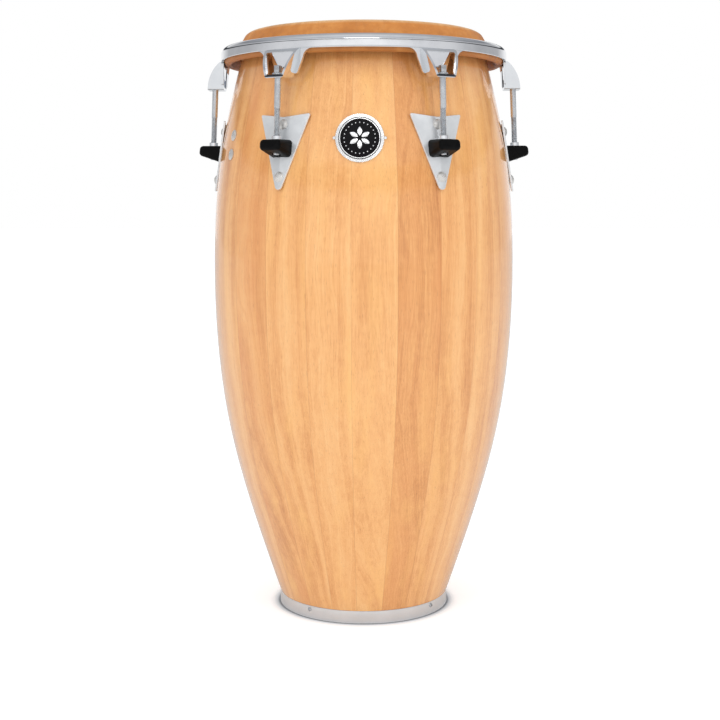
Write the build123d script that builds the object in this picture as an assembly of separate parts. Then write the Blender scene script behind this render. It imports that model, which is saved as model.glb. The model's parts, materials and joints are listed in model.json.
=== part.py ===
"""One conga drum: a staved wooden shell on a metal base band, with a rawhide head that a rolled
counterhoop pulls down by six tension rods.

Millimetres, +Z up. The origin is the centre of the open bottom, on the floor plane. The badge is
at the front, on -Y. An azimuth is measured from the front towards +X, seen from above anticlockwise.
"""
from build123d import *
import math
import os

import numpy as np

os.makedirs("parts", exist_ok=True)

# ---------------------------------------------------------------- driving dimensions

# Shell: the outside is turned to a smooth curve through these heights and radii.
SHELL_HEIGHTS = [0, 120, 240, 360, 480, 600, 740]
SHELL_RADII = [108.7, 148.5, 180.4, 196.5, 199.4, 190.1, 159.3]
WALL = 15.0
STAVE_COUNT = 22
FIRST_SEAM = -2.9                  # azimuth of the first glue line
EDGE_RADIUS = 10.0                 # bearing edge that the skin bends over
EDGE_CENTRE = (146.8, 752.2)

# Base band, let into a step turned on the foot of the shell.
BAND_HEIGHT = 16.8
BAND_STEP_HEIGHT = 17.0
BAND_STEP_RADIUS = 112.5
BAND_RADIUS_LOW = 114.8
BAND_RADIUS_HIGH = 114.2
BAND_SCREW_AZIMUTHS = [-37, 53, 143, 233]
BAND_SCREW_HEIGHT = 11.5
SCREW_RADIUS = 1.6
SCREW_LENGTH = 12.0
SCREW_HEAD_RADIUS = 3.0
SCREW_HEAD_HEIGHT = 1.3
SCREW_HEAD_SEAT = 0.4              # underside of the head, outward of the band's top radius

# Head: rawhide skin wrapped round a steel flesh hoop.
SKIN = 2.0
HOOP_WIRE_RADIUS = 3.7
HOOP_CENTRE = (178.0, 728.2)

# Counterhoop: a 3 mm sheet rolled over at the top, with its inner edge on the flesh hoop.
RIM_RADIUS = 187.7
RIM_SHEET = 3.0
RIM_LOW = 727.5
RIM_CREST_CENTRE = 736.5
RIM_CREST_RADIUS = 8.0
LEG_LOW = 733.3

# Lugs, six stations round the drum.
STATIONS = [-150, -90, -30, 30, 90, 150]

# Ears under the counterhoop: tapered straps that carry the rod heads.
EAR_FLOOR_LOW = 692.5
EAR_FLOOR_TOP = 696.0
EAR_NOSE_RADIUS = 206.0
EAR_HALF_TOP = 24.7
EAR_HALF_LOW = 13.0
EAR_BULGE = (200.6, 712.5)         # radius and height of a point on the strap's curved front edge
EAR_POCKET_TOP = 724.0
ROD_HOLE_RADIUS = 4.9

# Flange behind each strap, half width and height: flare from the rim, waist, side, foot.
FLANGE_FLARE = 39.5
FLANGE_WAIST = (28.2, 717.5)
FLANGE_SIDE = (21.4, 701.0)
FLANGE_TURN = (18.2, 698.2)
FLANGE_FOOT = (15.0, 699.5)
TONGUE_HALF_TOP = 18.0
TONGUE_HALF_LOW = 5.0
TONGUE_LOW = 705.5

# Tension rods, 5/16 inch, leaning out from the rim towards the lugs.
ROD_LEAN = 2.62                    # degrees off the vertical
ROD_REFERENCE = (197.4, 690.0)     # a point on the axis: radius, height
ROD_RADIUS = 3.95
ROD_END = 601.0
ROD_HEAD_SIDE = 7.3
ROD_HEAD_HEIGHT = 9.0
WASHER_SEAT = 696.5
WASHER_THICK = 1.8
WASHER_RADIUS = 6.9

# Side plates: bent sheet, tapering down to a round tip, with a welded shelf for the lug.
PLATE_HEIGHT = 605.0
PLATE_LEAN = 9.0                   # degrees, follows the shell
PLATE_SHEET = 2.6
PLATE_STAND_OFF = 0.95             # the bend line is proud of the shell, the wings touch it
PLATE_WING = 5.5                   # degrees each wing is bent back
PLATE_HALF_TOP = 36.0
PLATE_TOP = 47.0
PLATE_NOTCH = 42.4
PLATE_TIP = -46.0
TIP_RADIUS = 5.0
PLATE_BOLTS = [33.5, -30.5]        # along the plate from its reference height

# Lug shelf, its rubber boot and the threaded bush in it.
SHELF_LOW = 609.0
SHELF_TOP = 615.0
SHELF_HALF = 11.0
SHELF_NOSE = 213.0
LUG_ROOT = 185.0                   # the shelf and boot are drawn from here and cut to the plate
BOOT_TOP = 619.6
BOOT_HALF = 15.0
BOOT_NOSE = 218.8
BOOT_NOSE_DRAFT = 1.5
BOOT_NOSE_LOW = 607.4
BOOT_ROOT_LOW = 596.0
BOOT_ROUNDING = 5.0
BUSH_RADIUS = 5.75
BUSH_LOW = 606.0
BUSH_TOP = 624.1

# Quarter inch carriage bolts, washers and nuts.
BOLT_RADIUS = 3.17
BOLT_HOLE = 3.5
BOLT_HEAD_RADIUS = 6.5
BOLT_HEAD_HEIGHT = 3.0
BOLT_LENGTH = 28.0
BOLT_HEAD_SKIRT = 0.8
NUT_FLATS = 11.1
NUT_THICK = 5.6
BOLT_WASHER_RADIUS = 9.0
BOLT_WASHER_THICK = 1.6
SIDE_BOLT_AZIMUTH = -61.0
SIDE_BOLT_HEIGHTS = [629.0, 605.0]
SIDE_BOLT_HEAD_RADIUS = 7.0
SIDE_BOLT_DOME = 1.4
SIDE_BOLT_RIM = 1.0                # straight edge of the head, below its dome
PLATE_WASHER_GAP = 2.3             # room between the shell's inner face and the plate bolts' washers
SIDE_WASHER_GAP = 0.5

# Badge
BADGE_HEIGHT = 620.6
BADGE_RADIUS = 29.25
BADGE_RING_INNER = 25.7
BADGE_THIN_RING = (23.6, 24.6)
PIN_OFFSET = 30.4                  # the two pins stand just outside the badge's edge
PIN_RADIUS = 0.9
PIN_LENGTH = 9.0
PIN_HEAD_RADIUS = 2.0
PIN_HEAD_SEAT = 2.0
PIN_HEAD_HEIGHT = 0.9
BADGE_LAYERS = (0.12, 1.1, 1.9)    # outward of the shell: underside, floor and top of its rings
INLAY_TOP = 1.6

FIT = 0.05                         # gap left between faces that are fitted together


# ---------------------------------------------------------------- shared geometry

def natural_spline(xs, ys):
    """Second derivatives of the natural cubic through the points."""
    n = len(xs)
    steps = np.diff(xs)
    system = np.eye(n)
    right = np.zeros(n)
    for i in range(1, n - 1):
        system[i, i - 1:i + 2] = [steps[i - 1], 2 * (steps[i - 1] + steps[i]), steps[i]]
        right[i] = 6 * ((ys[i + 1] - ys[i]) / steps[i] - (ys[i] - ys[i - 1]) / steps[i - 1])
    return np.linalg.solve(system, right)


SHELL_BEND = natural_spline(SHELL_HEIGHTS, SHELL_RADII)


def shell_radius(z):
    """Outside radius of the shell at a height, carried on straight above the last one."""
    if z > SHELL_HEIGHTS[-1]:
        return SHELL_RADII[-1] + shell_slope(SHELL_HEIGHTS[-1]) * (z - SHELL_HEIGHTS[-1])
    i = min(np.searchsorted(SHELL_HEIGHTS, z, side="right"), len(SHELL_HEIGHTS) - 1) - 1
    low, high = SHELL_HEIGHTS[i:i + 2]
    step = high - low
    a, b = (high - z) / step, (z - low) / step
    bend = (a**3 - a) * SHELL_BEND[i] + (b**3 - b) * SHELL_BEND[i + 1]
    return float(a * SHELL_RADII[i] + b * SHELL_RADII[i + 1] + bend * step**2 / 6)


def shell_slope(z):
    """Change of the shell's radius per millimetre of height."""
    return (shell_radius(z) - shell_radius(z - 0.5)) / 0.5


def outward_plane(azimuth, radius, z, lean=0.0):
    """Plane whose x runs round the drum, y up and z outward, tipped up by lean degrees."""
    a, tip = math.radians(azimuth), math.radians(lean)
    out = (math.cos(tip) * math.sin(a), -math.cos(tip) * math.cos(a), math.sin(tip))
    origin = (radius * math.sin(a), -radius * math.cos(a), z)
    return Plane(origin=origin, x_dir=(math.cos(a), math.sin(a), 0), z_dir=out)


def shell_plane(azimuth, z, offset=0.0):
    """Plane square to the shell's outside."""
    lean = -math.degrees(math.atan(shell_slope(z)))
    return outward_plane(azimuth, shell_radius(z) + offset, z, lean)


def rod_plane(azimuth):
    """Plane whose z runs up a tension rod's axis, with its origin at the reference height."""
    radius, height = ROD_REFERENCE
    a, lean = math.radians(azimuth), math.radians(ROD_LEAN)
    up = (-math.sin(lean) * math.sin(a), math.sin(lean) * math.cos(a), math.cos(lean))
    origin = (radius * math.sin(a), -radius * math.cos(a), height)
    return Plane(origin=origin, x_dir=(math.cos(a), math.sin(a), 0), z_dir=up)


def along_rod(height):
    """Distance up the rod's axis, from its reference, that reaches a height."""
    return (height - ROD_REFERENCE[1]) / math.cos(math.radians(ROD_LEAN))


def tube_piece(radius, low, high, hole=0.0):
    """Cylinder between two heights, with an optional hole."""
    body = Pos(0, 0, low) * Cylinder(radius, high - low, align=(Align.CENTER, Align.CENTER, Align.MIN))
    if hole:
        body -= Pos(0, 0, low) * Cylinder(hole, high - low, align=(Align.CENTER, Align.CENTER, Align.MIN))
    return body


def turned(face):
    """Solid of revolution of a face drawn in radius and height."""
    return revolve(Plane.XZ * face, axis=Axis.Z, revolution_arc=360)


def profile_points(low, high, offset, count=12):
    """Points of radius and height along the shell's outside, moved outward by offset."""
    return [(shell_radius(z) + offset, z) for z in np.linspace(low, high, count)]


def front_prism(outline, low, high):
    """Outline in x and z, run outward over -Y from one distance to another."""
    return Plane.XZ.offset(low) * extrude(outline, high - low)


def write(name, shape):
    """Write one node, from one solid or a list of them."""
    solids = shape if isinstance(shape, list) else [shape]
    singles = [solid for item in solids for solid in item.solids()]
    for solid in singles:
        solid.label = name
    whole = singles[0] if len(singles) == 1 else Compound(children=singles)
    whole.label = name
    export_step(whole, f"parts/{name}.step")


# ---------------------------------------------------------------- fasteners

def carriage_bolt(head_radius, dome_height, length, skirt):
    """Domed bolt. The dome starts at z = 0 and a skirt carries the head's edge lower."""
    ball = (head_radius**2 + dome_height**2) / (2 * dome_height)
    dome = Pos(0, 0, dome_height - ball) * Sphere(ball) & tube_piece(head_radius, 0, dome_height)
    return dome + tube_piece(head_radius, -skirt, 0) + tube_piece(BOLT_RADIUS, -length, 0.5)


def bolt_washer(top):
    """Plain washer whose upper face is at the given distance along the bolt."""
    return tube_piece(BOLT_WASHER_RADIUS, top - BOLT_WASHER_THICK, top, BOLT_HOLE)


def bolt_nut(top):
    """Hexagon nut below the given distance along the bolt."""
    outline = RegularPolygon(NUT_FLATS / 2, 6, major_radius=False) - Circle(BOLT_RADIUS + FIT)
    return Pos(0, 0, top - NUT_THICK) * extrude(outline, NUT_THICK)


# ---------------------------------------------------------------- shell

def stave_profile():
    """Section of one stave in radius and height, from the foot to the bearing edge."""
    tilt = math.atan(-shell_slope(SHELL_HEIGHTS[-1]))
    centre_r, centre_z = EDGE_CENTRE
    outer_end = (centre_r + EDGE_RADIUS * math.cos(tilt), centre_z + EDGE_RADIUS * math.sin(tilt))
    inner_r = shell_radius(outer_end[1]) - WALL
    inner_z = centre_z + math.sqrt(EDGE_RADIUS**2 - (centre_r - inner_r)**2)
    outside = profile_points(BAND_STEP_HEIGHT, SHELL_HEIGHTS[-1], 0)
    inside = profile_points(0, SHELL_HEIGHTS[-1], -WALL)
    foot = Polyline(inside[0], (BAND_STEP_RADIUS, 0), (BAND_STEP_RADIUS, BAND_STEP_HEIGHT), outside[0])
    top = Line(outside[-1], outer_end)
    edge = ThreePointArc(outer_end, (centre_r, centre_z + EDGE_RADIUS), (inner_r, inner_z))
    back = Line((inner_r, inner_z), inside[-1])
    return make_face(foot.edges() + [Spline(*outside), top, edge, back, Spline(*inside)])


def side_bolt_planes():
    return [shell_plane(SIDE_BOLT_AZIMUTH, z) for z in SIDE_BOLT_HEIGHTS]


def badge_pin_azimuths():
    angle = math.degrees(PIN_OFFSET / shell_radius(BADGE_HEIGHT))
    return [-angle, angle]


def badge_pin_planes():
    return [shell_plane(azimuth, BADGE_HEIGHT) for azimuth in badge_pin_azimuths()]


def band_screw_planes():
    return [outward_plane(a, BAND_RADIUS_HIGH, BAND_SCREW_HEIGHT) for a in BAND_SCREW_AZIMUTHS]


def shell_drills():
    """Azimuth and cutting cylinder of every hole in the shell."""
    drills = []
    for azimuth in STATIONS:
        for along in PLATE_BOLTS:
            place = plate_plane(azimuth) * Pos(0, along, 0)
            drills.append((azimuth, place * tube_piece(BOLT_HOLE, -40, 10)))
    for place in side_bolt_planes():
        drills.append((SIDE_BOLT_AZIMUTH, place * tube_piece(BOLT_HOLE, -40, 10)))
    for azimuth, place in zip(BAND_SCREW_AZIMUTHS, band_screw_planes()):
        drills.append((azimuth, place * tube_piece(SCREW_RADIUS, -SCREW_LENGTH, 10)))
    for azimuth, place in zip(badge_pin_azimuths(), badge_pin_planes()):
        drills.append((azimuth, place * tube_piece(PIN_RADIUS, -PIN_LENGTH, 10)))
    return drills


def make_staves():
    """Solid wedges side by side, each drilled where a fastener passes through it."""
    step = 360 / STAVE_COUNT
    wedge = revolve(Plane.XZ * stave_profile(), axis=Axis.Z, revolution_arc=step)
    drills = shell_drills()
    for number in range(STAVE_COUNT):
        seam = FIRST_SEAM + number * step
        stave = Rot(0, 0, seam - 90) * wedge
        for azimuth, drill in drills:
            if abs((azimuth - seam - step / 2 + 180) % 360 - 180) < step / 2 + 2.5:
                stave -= drill
        write(f"stave_{number + 1:02d}", stave)


def make_base_band():
    outline = Polygon((BAND_STEP_RADIUS + FIT, 0), (BAND_RADIUS_LOW, 0), (BAND_RADIUS_HIGH, BAND_HEIGHT),
                      (BAND_STEP_RADIUS + FIT, BAND_HEIGHT), align=None)
    corners = outline.vertices().filter_by_position(Axis.X, BAND_RADIUS_HIGH - 0.1, BAND_RADIUS_LOW + 0.1)
    outline = fillet(corners, 0.7)
    band = turned(outline)
    for place in band_screw_planes():
        band -= place * tube_piece(SCREW_RADIUS + 0.3, -10, 10)
    write("base_band", band)


def make_band_screws():
    screws = []
    for place in band_screw_planes():
        head = tube_piece(SCREW_HEAD_RADIUS, SCREW_HEAD_SEAT, SCREW_HEAD_SEAT + SCREW_HEAD_HEIGHT)
        head = fillet(head.edges().sort_by(Axis.Z)[-1], 0.6)
        screws.append(place * (head + tube_piece(SCREW_RADIUS, -SCREW_LENGTH, 0.5)))
    write("base_band_screws", screws)


# ---------------------------------------------------------------- head

def make_head():
    """Skin: flat top, bent over the bearing edge, straight down inside the flesh hoop and round it."""
    edge_r, edge_z = EDGE_CENTRE
    hoop_r, hoop_z = HOOP_CENTRE
    inner, outer = EDGE_RADIUS + FIT, EDGE_RADIUS + FIT + SKIN
    wrap = HOOP_WIRE_RADIUS + SKIN
    span = math.hypot(hoop_r - edge_r, hoop_z - edge_z)
    fall = math.atan2(hoop_z - edge_z, hoop_r - edge_r) - math.asin((inner + wrap) / span)
    normal = (-math.sin(fall), math.cos(fall))

    def on_edge(radius):
        return (edge_r + radius * normal[0], edge_z + radius * normal[1])

    def on_hoop(radius):
        return (hoop_r - radius * normal[0], hoop_z - radius * normal[1])

    middle = (math.pi / 2 + math.atan2(normal[1], normal[0])) / 2
    sheet = make_face([
        Line((0, edge_z + outer), (edge_r, edge_z + outer)),
        ThreePointArc((edge_r, edge_z + outer), (edge_r + outer * math.cos(middle),
                      edge_z + outer * math.sin(middle)), on_edge(outer)),
        Line(on_edge(outer), on_hoop(HOOP_WIRE_RADIUS)),
        Line(on_hoop(HOOP_WIRE_RADIUS), on_hoop(wrap)),
        Line(on_hoop(wrap), on_edge(inner)),
        ThreePointArc(on_edge(inner), (edge_r + inner * math.cos(middle),
                      edge_z + inner * math.sin(middle)), (edge_r, edge_z + inner)),
        Line((edge_r, edge_z + inner), (0, edge_z + inner)),
        Line((0, edge_z + inner), (0, edge_z + outer)),
    ])
    ring = Pos(hoop_r, hoop_z) * (Circle(wrap) - Circle(HOOP_WIRE_RADIUS))
    write("drum_head", turned(sheet + ring))
    write("flesh_hoop", turned(Pos(hoop_r, hoop_z) * Circle(HOOP_WIRE_RADIUS - FIT)))


# ---------------------------------------------------------------- counterhoop and ears

def make_counterhoop():
    outer, inner = RIM_RADIUS, RIM_RADIUS - RIM_SHEET
    centre = RIM_RADIUS - RIM_CREST_RADIUS
    leg = centre - RIM_CREST_RADIUS
    tight = RIM_CREST_RADIUS - RIM_SHEET
    z = RIM_CREST_CENTRE
    section = make_face([
        Line((inner, RIM_LOW), (outer, RIM_LOW)),
        Line((outer, RIM_LOW), (outer, z)),
        ThreePointArc((outer, z), (centre, z + RIM_CREST_RADIUS), (leg, z)),
        Line((leg, z), (leg, LEG_LOW)),
        Line((leg, LEG_LOW), (leg + RIM_SHEET, LEG_LOW)),
        Line((leg + RIM_SHEET, LEG_LOW), (leg + RIM_SHEET, z)),
        ThreePointArc((leg + RIM_SHEET, z), (centre, z + tight), (inner, z)),
        Line((inner, z), (inner, RIM_LOW)),
    ])
    write("counterhoop", turned(section))


def ear_wall_x(z, inset=0.0):
    """Half width of the tapered strap at a height, measured to a face inset from its outside."""
    taper = (EAR_HALF_TOP - EAR_HALF_LOW) / (RIM_LOW - EAR_FLOOR_LOW)
    return EAR_HALF_LOW + taper * (z - EAR_FLOOR_LOW) - inset * math.hypot(1, taper)


def mirrored(points):
    """Close an outline with the mirror images of its right half."""
    return points + [(-x, z) for x, z in reversed(points)]


def ear_pocket_outline():
    """Front view of the space inside the strap."""
    points = mirrored([(ear_wall_x(z, RIM_SHEET), z) for z in (EAR_FLOOR_TOP, EAR_POCKET_TOP)])
    face = Polygon(*points, align=None)
    return fillet(face.vertices(), 1.8)


def make_ear():
    """One ear at the front: strap, back flanges that flow into the rim, and the middle tongue."""
    strap = Polygon(*mirrored([(ear_wall_x(EAR_FLOOR_LOW), EAR_FLOOR_LOW), (ear_wall_x(RIM_LOW), RIM_LOW)]),
                    align=None)
    strap = fillet(strap.vertices().group_by(Axis.Y)[0], 3.5)
    pocket = ear_pocket_outline()

    inner_wall = RIM_RADIUS - RIM_SHEET
    nose = (-EAR_NOSE_RADIUS, EAR_FLOOR_LOW)
    brow = (-RIM_RADIUS - 0.3, RIM_LOW)
    root = (-inner_wall + 6, RIM_LOW)
    heel = (-inner_wall, EAR_FLOOR_LOW)
    side = make_face([
        Line(heel, nose),
        ThreePointArc(nose, (-EAR_BULGE[0], EAR_BULGE[1]), brow),
        Line(brow, root),
        Line(root, heel),
    ])
    fin = Plane.YZ * extrude(side, 60, both=True)
    walls = front_prism(strap, 170, 215) & fin
    walls -= front_prism(pocket, 160, 225)

    flange = make_face([
        Line((0, RIM_LOW), (FLANGE_FLARE, RIM_LOW)),
        TangentArc((FLANGE_FLARE, RIM_LOW), FLANGE_WAIST, tangent=(-1, 0)),
        Line(FLANGE_WAIST, FLANGE_SIDE),
        ThreePointArc(FLANGE_SIDE, FLANGE_TURN, FLANGE_FOOT),
        Line(FLANGE_FOOT, (0, FLANGE_FOOT[1])),
        Line((0, FLANGE_FOOT[1]), (0, RIM_LOW)),
    ])
    flange = flange + mirror(flange, about=Plane.YZ)
    tongue = Polygon(*mirrored([(TONGUE_HALF_LOW, TONGUE_LOW), (TONGUE_HALF_TOP, RIM_LOW)]), align=None)
    tongue = fillet(tongue.vertices().group_by(Axis.Y)[0], 4.0)
    back = front_prism(flange - pocket + tongue, 150, 200)
    back &= tube_piece(RIM_RADIUS, EAR_FLOOR_LOW, RIM_LOW, inner_wall)

    ear = walls - tube_piece(inner_wall, 680, 740) + back
    ear -= rod_plane(0) * tube_piece(ROD_HOLE_RADIUS, -10, 12)
    return ear


def make_ears():
    ear = make_ear()
    write("hoop_ears", [Rot(0, 0, azimuth) * ear for azimuth in STATIONS])


# ---------------------------------------------------------------- rods

def make_rods():
    seat = along_rod(WASHER_SEAT)
    neck = seat + WASHER_THICK + 0.1
    shank = tube_piece(ROD_RADIUS, along_rod(ROD_END), neck)
    shank = chamfer(shank.edges().sort_by(Axis.Z)[0], 0.8)
    head = Pos(0, 0, neck) * Box(ROD_HEAD_SIDE, ROD_HEAD_SIDE, ROD_HEAD_HEIGHT,
                                 align=(Align.CENTER, Align.CENTER, Align.MIN))
    head = fillet(head.edges().filter_by(Axis.Z), 0.8)
    head = chamfer(head.edges().group_by(Axis.Z)[-1], 0.7)
    rod = shank + head
    washer = tube_piece(WASHER_RADIUS, seat, seat + WASHER_THICK, ROD_RADIUS + 0.35)
    for number, azimuth in enumerate(STATIONS, 1):
        write(f"tension_rod_{number}", rod_plane(azimuth) * rod)
        write(f"rod_washer_{number}", rod_plane(azimuth) * washer)


# ---------------------------------------------------------------- side plates and lugs

def plate_plane(azimuth):
    return outward_plane(azimuth, shell_radius(PLATE_HEIGHT) + PLATE_STAND_OFF, PLATE_HEIGHT, PLATE_LEAN)


def bent_sheet(depth):
    """Wide strip bent along its middle: front face at the sheet thickness, back face at -depth."""
    reach = 60
    drop = reach * math.tan(math.radians(PLATE_WING))
    outline = Polygon((-reach, -depth - drop), (0, -depth), (reach, -depth - drop),
                      (reach, PLATE_SHEET - drop), (0, PLATE_SHEET), (-reach, PLATE_SHEET - drop), align=None)
    middle = outline.vertices().filter_by_position(Axis.X, -1, 1)
    outline = fillet(middle, 12.0)
    section = Plane.XZ * outline
    return Pos(0, 90, 0) * extrude(section, 180)


def plate_outline():
    """Front view of the plate: shallow notch on top, straight sides, round tip."""
    fall = math.atan2(PLATE_TOP - PLATE_TIP - TIP_RADIUS, PLATE_HALF_TOP)
    corner = (PLATE_HALF_TOP, PLATE_TOP)
    tip_z = PLATE_TIP + TIP_RADIUS
    distance = math.hypot(PLATE_HALF_TOP, PLATE_TOP - tip_z)
    swing = fall - math.acos(TIP_RADIUS / distance)
    touch = (TIP_RADIUS * math.cos(swing), tip_z + TIP_RADIUS * math.sin(swing))
    notch = (0, PLATE_NOTCH)
    face = make_face([
        Line(notch, corner),
        Line(corner, touch),
        ThreePointArc(touch, (0, PLATE_TIP), (-touch[0], touch[1])),
        Line((-touch[0], touch[1]), (-corner[0], corner[1])),
        Line((-corner[0], corner[1]), notch),
    ])
    top = face.vertices().group_by(Axis.Y)[-1]
    return fillet(top, 1.6)


def shelf_side():
    """Side view of the lug shelf."""
    return Polygon((-SHELF_NOSE, SHELF_LOW), (-LUG_ROOT, SHELF_LOW), (-LUG_ROOT, SHELF_TOP),
                   (-SHELF_NOSE, SHELF_TOP), align=None)


def boot_block():
    """Outside of the rubber boot, rounded everywhere but at the plate."""
    side = Polygon((-BOOT_NOSE, BOOT_NOSE_LOW), (-LUG_ROOT, BOOT_ROOT_LOW), (-LUG_ROOT, BOOT_TOP),
                   (-BOOT_NOSE + BOOT_NOSE_DRAFT, BOOT_TOP), align=None)
    block = Plane.YZ * extrude(side, BOOT_HALF, both=True)
    exposed = block.edges().filter_by_position(Axis.Y, -BOOT_NOSE - 1, -LUG_ROOT - 1)
    return fillet(exposed, BOOT_ROUNDING)


def make_plates():
    sheet = bent_sheet(0)
    behind = bent_sheet(40)
    outline = extrude(plate_outline(), 20, both=True)
    plate = sheet & outline
    for along in PLATE_BOLTS:
        plate -= Pos(0, along, 0) * tube_piece(BOLT_HOLE, -5, 10)

    front = plate_plane(0)
    bush_bore = rod_plane(0) * tube_piece(BUSH_RADIUS + FIT, along_rod(595), along_rod(630))
    shelf = Plane.YZ * extrude(shelf_side(), SHELF_HALF, both=True)
    shelf = fillet(shelf.edges().filter_by(Axis.Z).group_by(Axis.Y)[0], 3.0)
    cavity = Plane.YZ * extrude(offset(shelf_side(), FIT), SHELF_HALF + FIT, both=True)
    boot = boot_block() - front * behind - cavity - bush_bore
    side_plate = front * plate + (shelf - front * behind) - bush_bore

    bush = rod_plane(0) * tube_piece(BUSH_RADIUS, along_rod(BUSH_LOW), along_rod(BUSH_TOP), ROD_RADIUS + 0.07)
    bolts = []
    washers = []
    nuts = []
    washer_top = -WALL - PLATE_WASHER_GAP
    for along in PLATE_BOLTS:
        place = front * Pos(0, along, PLATE_SHEET - 0.05)
        bolt = carriage_bolt(BOLT_HEAD_RADIUS, BOLT_HEAD_HEIGHT, BOLT_LENGTH + PLATE_SHEET, BOLT_HEAD_SKIRT)
        bolts.append(place * bolt - front * plate)
        washers.append(front * Pos(0, along, 0) * bolt_washer(washer_top))
        nuts.append(front * Pos(0, along, 0) * bolt_nut(washer_top - BOLT_WASHER_THICK - FIT))

    every_bolt = [Rot(0, 0, a) * bolt for a in STATIONS for bolt in bolts]
    every_washer = [Rot(0, 0, a) * washer for a in STATIONS for washer in washers]
    every_nut = [Rot(0, 0, a) * nut for a in STATIONS for nut in nuts]
    washer_top = -WALL - SIDE_WASHER_GAP
    for place in side_bolt_planes():
        bolt = carriage_bolt(SIDE_BOLT_HEAD_RADIUS, SIDE_BOLT_DOME, WALL + 12.0, SIDE_BOLT_RIM)
        every_bolt.append(place * Pos(0, 0, SIDE_BOLT_RIM) * bolt)
        every_washer.append(place * bolt_washer(washer_top))
        every_nut.append(place * bolt_nut(washer_top - BOLT_WASHER_THICK - FIT))
    write("carriage_bolts", every_bolt)
    write("bolt_washers", every_washer)
    write("bolt_nuts", every_nut)

    for number, azimuth in enumerate(STATIONS, 1):
        write(f"side_plate_{number}", Rot(0, 0, azimuth) * side_plate)
        write(f"lug_boot_{number}", Rot(0, 0, azimuth) * boot)
    write("lug_bushes", [Rot(0, 0, azimuth) * bush for azimuth in STATIONS])


# ---------------------------------------------------------------- badge

def shell_layer(inner_offset, outer_offset):
    """Curved layer that follows the shell behind and around the badge."""
    low, high = BADGE_HEIGHT - 45, BADGE_HEIGHT + 45
    inside = profile_points(low, high, inner_offset, 5)
    outside = profile_points(low, high, outer_offset, 5)
    ends = [Line(inside[-1], outside[-1]), Line(outside[0], inside[0])]
    face = make_face([Spline(*inside), Spline(*outside)] + ends)
    return Rot(0, 0, -120) * revolve(Plane.XZ * face, axis=Axis.Z, revolution_arc=60)


def badge_prism(radius, hole=0.0):
    return shell_plane(0, BADGE_HEIGHT) * tube_piece(radius, -10, 15, hole)


def make_badge():
    under, floor, top = BADGE_LAYERS
    base = shell_layer(under, floor) & badge_prism(BADGE_RADIUS)
    raised = shell_layer(floor - 0.1, top)
    plate = base + (raised & badge_prism(BADGE_RADIUS, BADGE_RING_INNER))
    plate += raised & badge_prism(BADGE_THIN_RING[1], BADGE_THIN_RING[0])
    inlay = shell_layer(floor + 0.02, INLAY_TOP) & badge_prism(BADGE_THIN_RING[0] - 0.1)
    pins = []
    for place in badge_pin_planes():
        head = tube_piece(PIN_HEAD_RADIUS, PIN_HEAD_SEAT, PIN_HEAD_SEAT + PIN_HEAD_HEIGHT)
        head = fillet(head.edges().sort_by(Axis.Z)[-1], 0.6)
        pins.append(place * (head + tube_piece(PIN_RADIUS, -PIN_LENGTH, PIN_HEAD_SEAT + 0.2)))
    write("badge_plate", plate)
    write("badge_inlay", inlay)
    write("badge_pins", pins)


make_staves()
make_base_band()
make_band_screws()
make_head()
make_counterhoop()
make_ears()
make_rods()
make_plates()
make_badge()
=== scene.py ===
"""Looks of a conga drum: staved shell, rawhide head, rolled counterhoop, rods, lugs and badge.

Metres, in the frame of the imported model: +Z up, the badge on -Y, the drum standing on z = 0.
"""
import json
import math

import bmesh
import bpy
from mathutils import Matrix, Vector
from mathutils.bvhtree import BVHTree


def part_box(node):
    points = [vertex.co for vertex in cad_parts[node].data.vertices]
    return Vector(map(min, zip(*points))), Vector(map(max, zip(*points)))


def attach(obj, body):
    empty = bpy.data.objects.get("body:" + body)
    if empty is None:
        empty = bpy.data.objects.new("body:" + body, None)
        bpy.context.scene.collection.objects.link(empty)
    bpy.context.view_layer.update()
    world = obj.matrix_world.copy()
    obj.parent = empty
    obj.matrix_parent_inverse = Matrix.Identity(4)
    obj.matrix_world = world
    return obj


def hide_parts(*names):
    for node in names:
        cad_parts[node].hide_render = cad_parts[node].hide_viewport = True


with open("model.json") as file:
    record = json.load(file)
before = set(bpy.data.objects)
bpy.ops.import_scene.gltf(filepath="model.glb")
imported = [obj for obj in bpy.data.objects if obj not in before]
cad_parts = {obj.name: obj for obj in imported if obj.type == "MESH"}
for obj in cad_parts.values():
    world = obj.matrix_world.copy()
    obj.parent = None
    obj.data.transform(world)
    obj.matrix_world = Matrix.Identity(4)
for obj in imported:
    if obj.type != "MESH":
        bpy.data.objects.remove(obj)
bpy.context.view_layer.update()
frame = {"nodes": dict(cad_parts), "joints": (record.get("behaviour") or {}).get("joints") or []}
NODES = frame["nodes"]
JOINTS = {joint["name"]: joint for joint in frame["joints"]}
LUG_NUMBERS = range(1, 7)

# ---------------------------------------------------------------- camera

CAMERA_AZIMUTH = math.radians(1.6)
CAMERA_DISTANCE = 1.7685
CAMERA_HEIGHT = 0.5404
CAMERA_ASIDE = 0.0049
CAMERA_TILT = math.radians(6.71)
LENS = 65.5
SENSOR_WIDTH = 36
FAR_CLIP = 100


def make_camera():
    """Long lens a little above the middle of the drum, tipped slightly down."""
    data = bpy.data.cameras.new("camera")
    data.lens = LENS
    data.sensor_width = SENSOR_WIDTH
    data.clip_end = FAR_CLIP
    camera = bpy.data.objects.new("camera", data)
    towards = Vector((math.sin(CAMERA_AZIMUTH), -math.cos(CAMERA_AZIMUTH), 0))
    right = Vector((math.cos(CAMERA_AZIMUTH), math.sin(CAMERA_AZIMUTH), 0))
    camera.location = towards * CAMERA_DISTANCE - right * CAMERA_ASIDE + Vector((0, 0, CAMERA_HEIGHT))
    camera.rotation_euler = (math.pi / 2 - CAMERA_TILT, 0, CAMERA_AZIMUTH)
    bpy.context.scene.collection.objects.link(camera)
    bpy.context.scene.camera = camera


# ---------------------------------------------------------------- node helpers

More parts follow.
